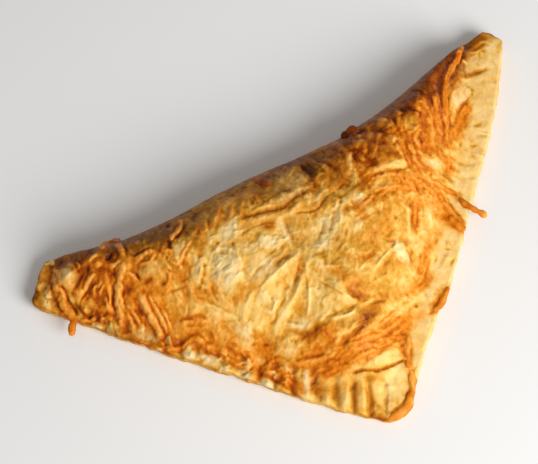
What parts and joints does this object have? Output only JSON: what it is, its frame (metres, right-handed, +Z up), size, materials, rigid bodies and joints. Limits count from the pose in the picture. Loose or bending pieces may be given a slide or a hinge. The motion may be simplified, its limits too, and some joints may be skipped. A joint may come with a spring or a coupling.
{
  "type": "spinach feta puff",
  "caption": "Triangular puff pastry turnover with a rolled fold, fork-crimped seams and browned cheese strands melted over its domed top.",
  "frame": {"origin": "centre of the bounding box's footprint, on the flat base that the puff rests on", "axes": "+X runs along the fold from its left tip to its right tip, +Y points from the crimped front corner to the fold, +Z is up"},
  "size_m": [0.1984, 0.1113, 0.0288],
  "materials": {
    "baked_puff_pastry": "baked puff pastry under browned melted cheese, slightly greasy"
  },
  "bodies": {
    "root": {"spinach_feta_puff": "baked_puff_pastry"}
  },
  "joints": []
}
